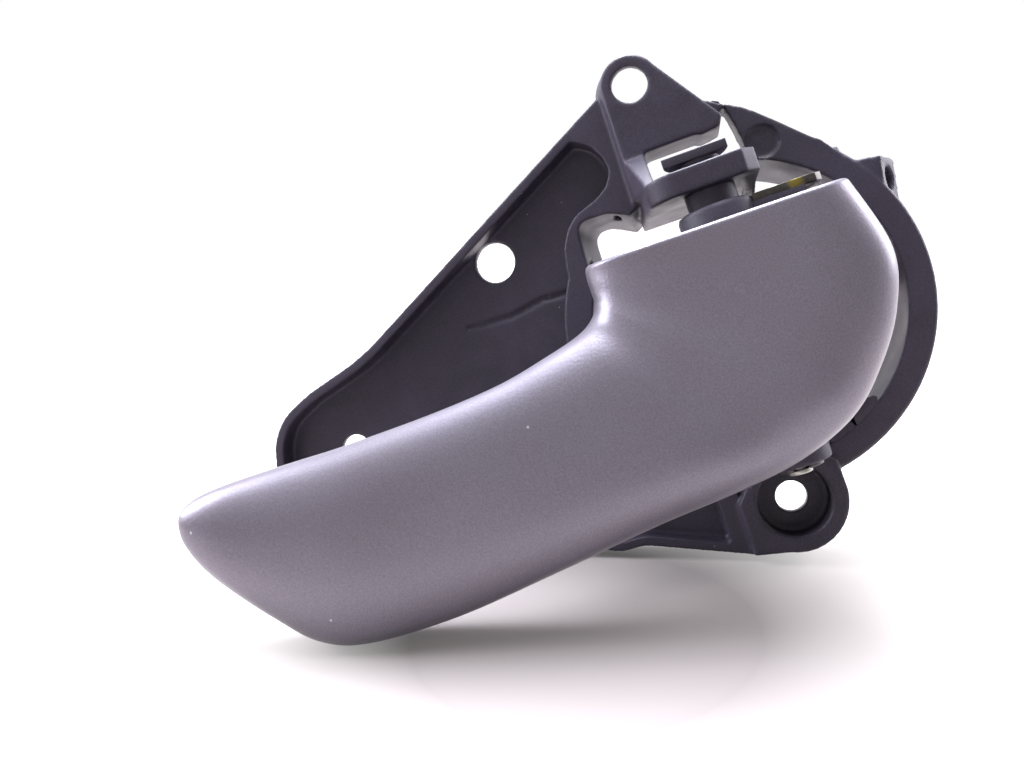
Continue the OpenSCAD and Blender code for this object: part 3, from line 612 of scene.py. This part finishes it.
class HANDLE_OT_frame(bpy.types.Operator):
    """Builds the moulded frame with the soft edges that a mould leaves"""
    bl_idname = "handle.frame"
    bl_label = "Moulded frame"

    def execute(self, context):
        shape, colours = context.scene.handle_shape, context.scene.handle_colours
        moulding = merged_copy("base_frame", "moulded_frame")
        coarser = 1
        skin = moulding.modifiers.new("Skin", "REMESH")
        skin.mode, skin.voxel_size, skin.use_smooth_shade = "VOXEL", shape.frame_voxel * coarser, True
        ease = moulding.modifiers.new("Ease", "SMOOTH")
        ease.factor, ease.iterations = 0.5, 3
        settle(moulding, ALL_SMOOTH)
        moulding.data.calc_loop_triangles()
        share = shape.frame_triangles / max(1, len(moulding.data.loop_triangles))
        if share < 1:
            thin = moulding.modifiers.new("Thin", "DECIMATE")
            thin.ratio = share
        even = moulding.modifiers.new("Even", "WEIGHTED_NORMAL")
        even.weight = 60
        settle(moulding, ALL_SMOOTH)
        finish = moulded_nylon("moulded_glass_filled_nylon", colours)
        dress(moulding, finish, "base", "black_plastic", "base_frame")
        for name, outline, front, rear, edge in MOULDED_BITS:
            dress(plate(name, outline, front, rear, edge), finish, "base", "black_plastic")
        return {"FINISHED"}


class HANDLE_OT_hinge(bpy.types.Operator):
    """Builds the hinge's turned parts: pin, cap, bush, washer and clip"""
    bl_idname = "handle.hinge"
    bl_label = "Hinge pin and its parts"

    def execute(self, context):
        colours = context.scene.handle_colours
        dark = moulded_nylon("moulded_black_acetal", colours, grain=0.25, shade=0.9)
        dress(rounded_copy("pin_cap", "pin_cover", 0.2), dark, "base", "black_plastic", "pin_cap")
        bush = lathe("collar", rounded([(BORE_R, CORE_TOP), (BUSH_R, CORE_TOP), (BUSH_R, LUG_UNDER),
                                        (BORE_R, LUG_UNDER)], 0.3))
        dress(bush, dark, "base", "black_plastic", "upper_bush")
        washer_foot = CORE_FOOT - WASHER_THICK
        washer = lathe("sliding_washer", rounded([(BORE_R, washer_foot), (WASHER_R, washer_foot),
                                                  (WASHER_R, CORE_FOOT), (BORE_R, CORE_FOOT)], 0.2))
        dress(washer, acetal(), "base", "white_plastic", "thrust_washer")
        groove_low, groove_high = LOW_LUG_UNDER - 1.0, LOW_LUG_UNDER - 0.1
        pin = lathe("steel_pin", rounded([
            (AXIS_R, PIN_FOOT), (PIN_R, PIN_FOOT), (PIN_R, groove_low), (GROOVE_R, groove_low),
            (GROOVE_R, groove_high), (PIN_R, groove_high), (PIN_R, PIN_TOP), (AXIS_R, PIN_TOP)], 0.25), sides=64)
        dress(pin, zinc_steel("ground_pin_steel", "a9a6a0"), "base", "steel", "hinge_pin")
        clip = rounded_copy("pin_clip", "spring_clip", 0.15)
        # The clip's steel is tinted darker than the pin's: painted shade for the dark spot at the pin's foot under
        # the lower lug
        dress(clip, zinc_steel("spring_steel_strip_painted_shade", "4c4a4c", bloom=0.2), "base", "steel", "pin_clip")
        return {"FINISHED"}


class HANDLE_OT_carrier(bpy.types.Operator):
    """Builds the hinge carrier inside the lever's neck"""
    bl_idname = "handle.carrier"
    bl_label = "Hinge carrier"

    def execute(self, context):
        carrier = rounded_copy("lever_core", "hinge_carrier", 0.35)
        dress(carrier, moulded_nylon("moulded_carrier_nylon", context.scene.handle_colours, grain=0.3, shade=0.95),
              "lever", "black_plastic", "lever_core")
        return {"FINISHED"}


class HANDLE_OT_linkage(bpy.types.Operator):
    """Builds the stamped release arm and the cable's clip and sheath end"""
    bl_idname = "handle.linkage"
    bl_label = "Release arm and cable ends"

    def execute(self, context):
        colours = context.scene.handle_colours
        arm = rounded_copy("release_arm", "stamped_arm", 0.25)
        # The arm's steel is tinted much darker than the pin and screws: painted shade for the dark slot it sits in
        # inside the lever's neck
        sheet = zinc_steel("zinc_sheet_painted_shade", "4a4744", bloom=0.15, grease_at=(66.4, -25.4, -8.8))
        dress(arm, sheet, "lever", "steel", "release_arm")
        dark = moulded_nylon("moulded_clip_nylon", colours, grain=0.25, shade=0.85)
        clip = rounded_copy("cable_clip", "cable_swivel_clip", 0.25)
        dress(clip, dark, "swivel", "black_plastic", "cable_clip")
        end = rounded_copy("cable_anchor", "sheath_end", 0.25)
        dress(end, dark, "base", "black_plastic", "cable_anchor")
        return {"FINISHED"}


class HANDLE_OT_pads(bpy.types.Operator):
    """Builds the two rubber stop pads"""
    bl_idname = "handle.pads"
    bl_label = "Stop pads"

    def execute(self, context):
        rubber = soft_rubber()
        for node, name in (("closed_stop_pad", "closed_pad"), ("open_stop_pad", "open_pad")):
            dress(rounded_copy(node, name, 0.5, 4), rubber, "base", "rubber", node)
        return {"FINISHED"}


def spring_tree():
    """Sweeps a round wire along the edges that come in."""
    tree, given = modifier_tree("wire_along_a_path", [("Wire", "NodeSocketFloat", WIRE * MM),
                                                      ("Sides", "NodeSocketInt", 16),
                                                      ("Finish", "NodeSocketMaterial", None)])
    line = add(tree, "GeometryNodeMeshToCurve", {"Mesh": (given, "Geometry")})
    half = add(tree, "ShaderNodeMath", {0: (given, "Wire"), 1: 0.5}, operation="MULTIPLY")
    ring = add(tree, "GeometryNodeCurvePrimitiveCircle", {"Resolution": (given, "Sides"), "Radius": (half, "Value")})
    wire = add(tree, "GeometryNodeCurveToMesh", {"Curve": (line, "Curve"), "Profile Curve": (ring, "Curve"),
                                                 "Fill Caps": True})
    real = add(tree, "GeometryNodeRealizeInstances", {"Geometry": (wire, "Mesh")})
    done = add(tree, "GeometryNodeSetMaterial", {"Geometry": (real, "Geometry"), "Material": (given, "Finish")})
    add(tree, "NodeGroupOutput", {"Geometry": (done, "Geometry")})
    return tree


def fastener_tree():
    """Puts a copy of the template on every point that comes in."""
    tree, given = modifier_tree("fastener_on_each_point", [("Template", "NodeSocketObject", None),
                                                           ("Turn", "NodeSocketRotation", None),
                                                           ("Finish", "NodeSocketMaterial", None)])
    shape = add(tree, "GeometryNodeObjectInfo", {"Object": (given, "Template")}, transform_space="ORIGINAL")
    each = add(tree, "GeometryNodeInstanceOnPoints", {"Points": (given, "Geometry"),
                                                      "Instance": (shape, "Geometry"),
                                                      "Rotation": (given, "Turn")})
    real = add(tree, "GeometryNodeRealizeInstances", {"Geometry": (each, "Instances")})
    done = add(tree, "GeometryNodeSetMaterial", {"Geometry": (real, "Geometry"), "Material": (given, "Finish")})
    add(tree, "NodeGroupOutput", {"Geometry": (done, "Geometry")})
    return tree


class HANDLE_OT_spring(bpy.types.Operator):
    """Winds the return spring from one wire, with a leg at each end"""
    bl_idname = "handle.spring"
    bl_label = "Return spring"

    def execute(self, context):
        x, y = HINGE
        high = SPRING_TOP - 1.0
        low = high - COIL_TURNS * COIL_PITCH
        # The leg on the frame comes in along y, then the wire winds up, and the leg in the lever goes out
        frame_leg, lever_leg_step, lever_leg_drift, steps = 16, 1.7, 0.05, 40
        route = [(x - COIL_R, y + frame_leg - frame_leg * k / 12, low) for k in range(12)]
        for k in range(COIL_TURNS * steps + 1):
            a = math.pi - 2 * math.pi * (COIL_TURNS * steps - k) / steps
            route.append((x + COIL_R * math.cos(a), y + COIL_R * math.sin(a), low + COIL_PITCH * k / steps))
        route += [(x - COIL_R - lever_leg_drift * k, y - lever_leg_step * k, high) for k in range(1, 7)]
        wire = mesh_object("return_coil", route, [])
        wire.data.edges.add(len(route) - 1)
        wire.data.edges.foreach_set("vertices", [v for k in range(len(route) - 1) for v in (k, k + 1)])
        wire.data.update()
        finish = zinc_steel("oiled_spring_wire", "6f6f74")
        run_tree(wire, spring_tree(), {"Wire": WIRE * MM, "Sides": 16, "Finish": finish})
        dress(wire, finish, "base", "steel", "return_spring")
        return {"FINISHED"}


class HANDLE_OT_fasteners(bpy.types.Operator):
    """Places the two screws behind the lever and the two rivets on the arm"""
    bl_idname = "handle.fasteners"
    bl_label = "Screws and rivets"

    def execute(self, context):
        tree = fastener_tree()
        finish = zinc_steel("zinc_plated_screw_steel", "a5a399")
        screw = lathe("screw_shape", rounded(SCREW_HALF, 0.3), sides=40, at=(0, 0))
        # The cross in the head: half the slot's width and length, its floor and a height above the head
        half, long, floor, top = 0.4, 2, 1.5, 4
        cut_away(screw, [block("slot_a", (-half, -long, floor), (half, long, top)),
                         block("slot_b", (-long, -half, floor), (long, half, top))])
        spots = mesh_object("lever_screws", [(x, SCREW_Y, z) for x, z in SCREWS], [])
        run_tree(spots, tree, {"Template": screw, "Turn": (-math.pi / 2, 0, 0), "Finish": finish})
        dress(spots, finish, "lever", "steel", "shell_screws")
        rivet = lathe("rivet_shape", rounded(RIVET_HALF, 0.2), sides=40, at=(0, 0))
        spots = mesh_object("arm_rivet_pair", [(x, y, RIVET_Z) for x, y in RIVETS], [])
        run_tree(spots, tree, {"Template": rivet, "Finish": finish})
        dress(spots, finish, "lever", "steel", "arm_rivets")
        for template in (screw, rivet):
            bpy.data.objects.remove(template)
        return {"FINISHED"}


# ---- Camera, floor and lights --------------------------------------------------------------------------------------

CENTRE = Vector((0, -20, -25)) * MM
CAMERA_AT = Vector((35.67, -210.19, -34.27)) * MM
CAMERA_RIGHT = Vector((0.9336, 0.1908, -0.3033)).normalized()
CAMERA_UP = Vector((0.3025, 0.0343, 0.9525)).normalized()
# The focal length and the picture's width in pixels, and the sensor's width in millimetres
FOCAL, PICTURE, SENSOR = 887, 1024, 36
# The handle rests on the frame's lower edge at two places and on the lever's bottom
RESTS = [Vector(p) * MM for p in ((7.9, 0.0, -72.9), (37.0, 0.0, -81.8), (-41.1, -46.5, -68.4))]
FLOOR_HALF = 1.6
# The middle of the shaded floor, left of the first rest and nearer the camera, and the distances from it over which
# the floor turns white
SHADE_LEFT, SHADE_NEAR, SHADE_FROM, SHADE_TO = 0.012, 0.038, 0.034, 0.078
# Name, steps from the centre away from the camera, up from the floor and to the right, size, watts and tint
LAMPS = (
    ("Window behind", (0.3, 0.64, 0), 0.36, 16.0, "f0f4ff"),
    ("Window overhead", (0, 0.7, 0), 0.4, 5.0, "f0f4ff"),
    ("Left wall", (0.12, 0.3, -0.55), 0.4, 6.5, "f0f4ff"),
    ("Right wall", (0.2, 0.25, 0.6), 0.4, 4.5, "f6f4ff"),
    ("Soft fill", (-0.55, 0.4, -0.2), 0.7, 0.5, "fff8f4"),
)


def board_material(shaded):
    """Matt pale board, see-through from below: it shows as the white surround where nothing shades it, holds a
    painted shadow patch under the lever, and throws only a little light back on the lever's underside."""
    paper = bpy.data.materials.new("matt_pale_board")
    paper.use_nodes = True
    tree = paper.node_tree
    tree.nodes.clear()
    seen = add(tree, "ShaderNodeLightPath")
    both = add(tree, "ShaderNodeMath", {0: (seen, "Is Camera Ray"), 1: (seen, "Is Glossy Ray")}, operation="ADD",
               use_clamp=True)
    # Camera and glossy rays see a white glow, held back to 9% in a patch below the lever: a painted shadow laid
    # over the lamps' own shadow there, fading to plain white further off
    spot = add(tree, "ShaderNodeTexCoord")
    gone = add(tree, "ShaderNodeVectorMath", {0: (spot, "Object"), 1: tuple(shaded)}, operation="DISTANCE")
    painted_shadow_fade = add(tree, "ShaderNodeMapRange", {"Value": (gone, "Value"), "From Min": SHADE_FROM, "From Max": SHADE_TO,
                                            "To Min": 0.09, "To Max": 1.0})
    glow = add(tree, "ShaderNodeMath", {0: (both, "Value"), 1: (painted_shadow_fade, "Result")}, operation="MULTIPLY")
    plain = add(tree, "ShaderNodeBsdfDiffuse", {"Color": linear("99918f")})
    shine = add(tree, "ShaderNodeEmission", {"Color": linear("fffdfd"), "Strength": (glow, "Value")})
    board = add(tree, "ShaderNodeAddShader", {0: (plain, "BSDF"), 1: (shine, "Emission")})
    shape = add(tree, "ShaderNodeNewGeometry")
    clear = add(tree, "ShaderNodeBsdfTransparent")
    sided = add(tree, "ShaderNodeMixShader", {0: (shape, "Backfacing"), 1: (board, "Shader"), 2: (clear, "BSDF")})
    add(tree, "ShaderNodeOutputMaterial", {"Surface": (sided, "Shader")})
    return paper


def white_room(back):
    """A white room that is bright on every side but the one the picture is taken from."""
    world = bpy.data.worlds.new("white_room")
    world.use_nodes = True
    tree = world.node_tree
    tree.nodes.clear()
    seen = add(tree, "ShaderNodeLightPath")
    first = add(tree, "ShaderNodeMath", {0: (seen, "Is Camera Ray"), 1: (seen, "Is Glossy Ray")}, operation="ADD")
    full = add(tree, "ShaderNodeMath", {0: (first, "Value"), 1: (seen, "Is Transmission Ray")}, operation="ADD",
               use_clamp=True)
    way = add(tree, "ShaderNodeTexCoord")
    facing = add(tree, "ShaderNodeVectorMath", {0: (way, "Generated"), 1: tuple(back)}, operation="DOT_PRODUCT")
    room = add(tree, "ShaderNodeMapRange", {"Value": (facing, "Value"), "From Min": 0.1, "From Max": 0.85,
                                            "To Min": 1.0, "To Max": 0.4})
    part = add(tree, "ShaderNodeMapRange", {"Value": (full, "Value"), "To Min": 0.36, "To Max": 1.0})
    lit = add(tree, "ShaderNodeMath", {0: (room, "Result"), 1: (part, "Result")}, operation="MULTIPLY")
    power = add(tree, "ShaderNodeMix", {"Factor": (seen, "Is Camera Ray"), "A": (lit, "Value"), "B": 1.0},
                data_type="FLOAT")
    sky = add(tree, "ShaderNodeBackground", {"Color": (1, 1, 1, 1), "Strength": (power, "Result")})
    add(tree, "ShaderNodeOutputWorld", {"Surface": (sky, "Background")})
    return world


class HANDLE_OT_stage(bpy.types.Operator):
    """Sets the camera, the white floor and the soft light from above and behind"""
    bl_idname = "handle.stage"
    bl_label = "Stage"

    def execute(self, context):
        scene = context.scene
        right = CAMERA_RIGHT
        back = right.cross(CAMERA_UP - right * CAMERA_UP.dot(right)).normalized()
        up = back.cross(right).normalized()
        eye = bpy.data.objects.new("Camera", bpy.data.cameras.new("Camera"))
        scene.collection.objects.link(eye)
        turn = Matrix((right, up, back)).transposed().to_4x4()
        eye.matrix_world = Matrix.Translation(CAMERA_AT) @ turn
        eye.data.lens, eye.data.sensor_width = FOCAL * SENSOR / PICTURE, SENSOR
        eye.data.clip_start, eye.data.clip_end = 0.01, 20
        scene.camera = eye

        normal = (RESTS[1] - RESTS[0]).cross(RESTS[2] - RESTS[0]).normalized()
        normal *= 1 if normal.z > 0 else -1
        away = normal.cross(right).normalized()
        side = away.cross(normal).normalized()
        corners = [RESTS[0] + (side * a + away * b) * FLOOR_HALF for a, b in ((-1, -1), (1, -1), (1, 1), (-1, 1))]
        floor = mesh_object("white_floor", [tuple(c / MM for c in p) for p in corners], [(0, 1, 2, 3)], smooth=False)
        floor.data.materials.append(board_material(RESTS[0] - side * SHADE_LEFT - away * SHADE_NEAR))
        scene.world = white_room(back)

        for name, (far, high, over), size, watts, tint in LAMPS:
            place = CENTRE + away * far + normal * high + side * over
            lamp = bpy.data.objects.new(name, bpy.data.lights.new(name, "AREA"))
            scene.collection.objects.link(lamp)
            lamp.data.size, lamp.data.energy, lamp.data.color = size, watts, linear(tint)[:3]
            aim = (CENTRE - place).to_track_quat("-Z", "Y").to_matrix().to_4x4()
            lamp.matrix_world = Matrix.Translation(place) @ aim
        scene.view_settings.view_transform = "Standard"
        return {"FINISHED"}


class HANDLE_PT_panel(bpy.types.Panel):
    """Lists the handle's pieces"""
    bl_idname = "HANDLE_PT_panel"
    bl_label = "Door handle"
    bl_space_type = "VIEW_3D"
    bl_region_type = "UI"
    bl_category = "Door handle"

    def draw(self, context):
        for group in (context.scene.handle_shape, context.scene.handle_colours):
            for key in group.bl_rna.properties.keys():
                if key not in ("rna_type", "name"):
                    self.layout.prop(group, key)
        for operator in OPERATORS:
            self.layout.operator(operator.bl_idname)


OPERATORS = (HANDLE_OT_stage, HANDLE_OT_lever, HANDLE_OT_frame, HANDLE_OT_hinge, HANDLE_OT_carrier,
             HANDLE_OT_linkage, HANDLE_OT_pads, HANDLE_OT_spring, HANDLE_OT_fasteners)


def register():
    for kind in (HandleColours, HandleShape, *OPERATORS, HANDLE_PT_panel):
        bpy.utils.register_class(kind)
    bpy.types.Scene.handle_colours = PointerProperty(type=HandleColours)
    bpy.types.Scene.handle_shape = PointerProperty(type=HandleShape)


def unregister():
    del bpy.types.Scene.handle_shape
    del bpy.types.Scene.handle_colours
    for kind in (HANDLE_PT_panel, *reversed(OPERATORS), HandleShape, HandleColours):
        bpy.utils.unregister_class(kind)


def main():
    """Builds every piece in order."""
    register()
    for operator in OPERATORS:
        group, name = operator.bl_idname.split(".")
        if getattr(getattr(bpy.ops, group), name)() != {"FINISHED"}:
            raise RuntimeError(operator.bl_idname + " didn't finish")


if __name__ == "__main__":
    main()
